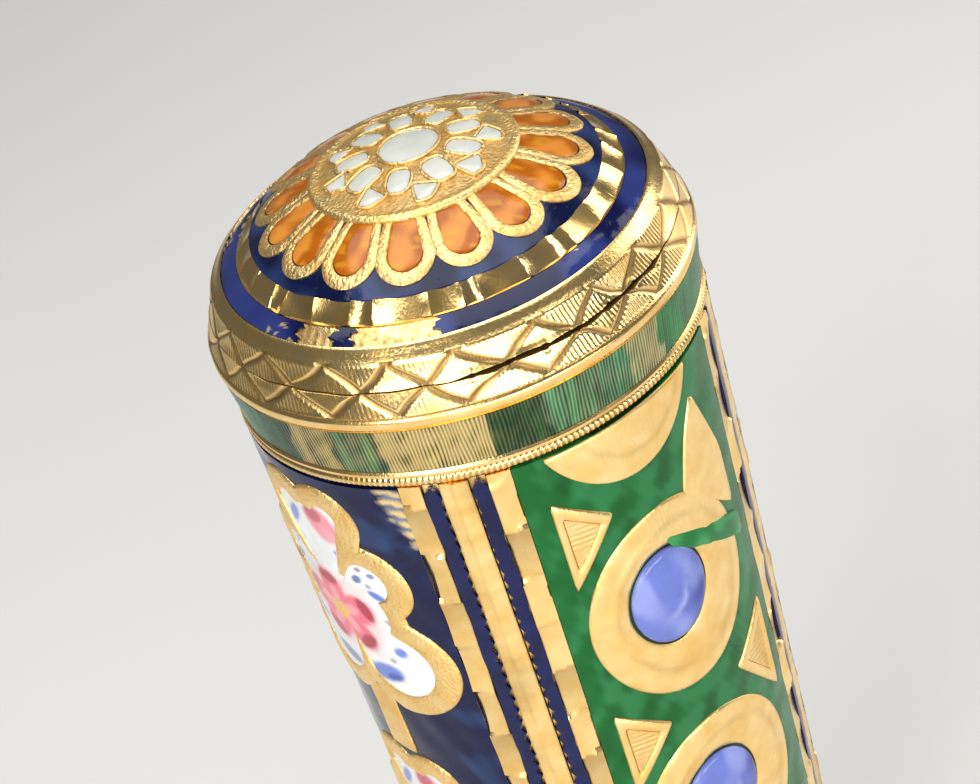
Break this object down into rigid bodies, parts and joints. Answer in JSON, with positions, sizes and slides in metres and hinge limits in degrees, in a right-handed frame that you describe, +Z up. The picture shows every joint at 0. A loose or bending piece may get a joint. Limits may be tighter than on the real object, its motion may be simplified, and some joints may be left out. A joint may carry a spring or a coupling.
{
  "type": "lipstick case",
  "caption": "Slim round lipstick case with a long domed pull-off cap in enamelled gold and a twist foot that raises the lipstick.",
  "frame": {"origin": "centre of the foot's underside, on the surface the case stands on", "axes": "+Z up along the case's axis towards the domed head; -Y towards the front green panel, +X towards the right painted panel"},
  "size_m": [0.0196, 0.0196, 0.06],
  "materials": {
    "gold": "polished and bright-cut",
    "navy_enamel": "glossy",
    "green_enamel": "glossy, translucent",
    "white_enamel": "glossy, painted",
    "amber_enamel": "glossy, translucent",
    "blue_enamel": "glossy, domed",
    "ivory_plastic": "satin",
    "silvered_steel": "satin",
    "dark_metal": "satin",
    "lipstick": "waxy"
  },
  "bodies": {
    "case": {"base_sleeve": "gold", "base_stripe_enamel": "navy_enamel", "base_green_front": "green_enamel", "base_green_back": "green_enamel", "base_rings_front": "gold", "base_rings_back": "gold", "base_cabochons_front": "blue_enamel", "base_cabochons_back": "blue_enamel", "base_navy_right": "navy_enamel", "base_navy_left": "navy_enamel", "base_frames_right": "gold", "base_frames_left": "gold", "base_plaques_right": "white_enamel", "base_plaques_left": "white_enamel", "base_bead": "gold", "neck_tube": "gold", "snap_ring": "ivory_plastic", "guide_tube": "silvered_steel", "mouth_ring": "gold", "bearing_ring": "ivory_plastic"},
    "cap": {"dome_cover": "gold", "petal_cloisons": "gold", "petal_enamel": "amber_enamel", "flower_medallion": "gold", "flower_enamel": "white_enamel", "navy_field_enamel": "navy_enamel", "facet_ring": "gold", "blue_ring_enamel": "navy_enamel", "cap_collar": "gold", "green_band_enamel": "green_enamel", "milled_wire": "gold", "cap_sleeve": "gold", "cap_stripe_enamel": "navy_enamel", "cap_green_front": "green_enamel", "cap_green_back": "green_enamel", "cap_rings_front": "gold", "cap_rings_back": "gold", "cap_cabochons_front": "blue_enamel", "cap_cabochons_back": "blue_enamel", "cap_navy_right": "navy_enamel", "cap_navy_left": "navy_enamel", "cap_frames_right": "gold", "cap_frames_left": "gold", "cap_plaques_right": "white_enamel", "cap_plaques_left": "white_enamel", "cap_liner": "ivory_plastic", "cap_bead": "gold"},
    "foot": {"twist_foot": "gold", "foot_band_enamel": "green_enamel", "foot_wire": "gold", "foot_disc": "dark_metal", "spiral_sleeve": "silvered_steel", "retaining_clip": "silvered_steel"},
    "carrier": {"carrier_cup": "silvered_steel", "carrier_pins": "silvered_steel", "lipstick": "lipstick"}
  },
  "joints": [
    {"name": "cap_pull", "type": "slide", "parent": "case", "child": "cap", "axis": [0, 0, 1], "range_m": [0, 0.05]},
    {"name": "foot_twist", "type": "hinge", "parent": "case", "child": "foot", "pos_m": [0, 0, 0], "axis": [0, 0, 1], "range_deg": [0, 450]},
    {"name": "carrier_rise", "type": "slide", "parent": "case", "child": "carrier", "axis": [0, 0, 1], "range_m": [0, 0.02]}
  ],
  "couplings": [
    {"joint": "carrier_rise", "follows": "foot_twist", "m_per_rad": 0.0025465}
  ]
}
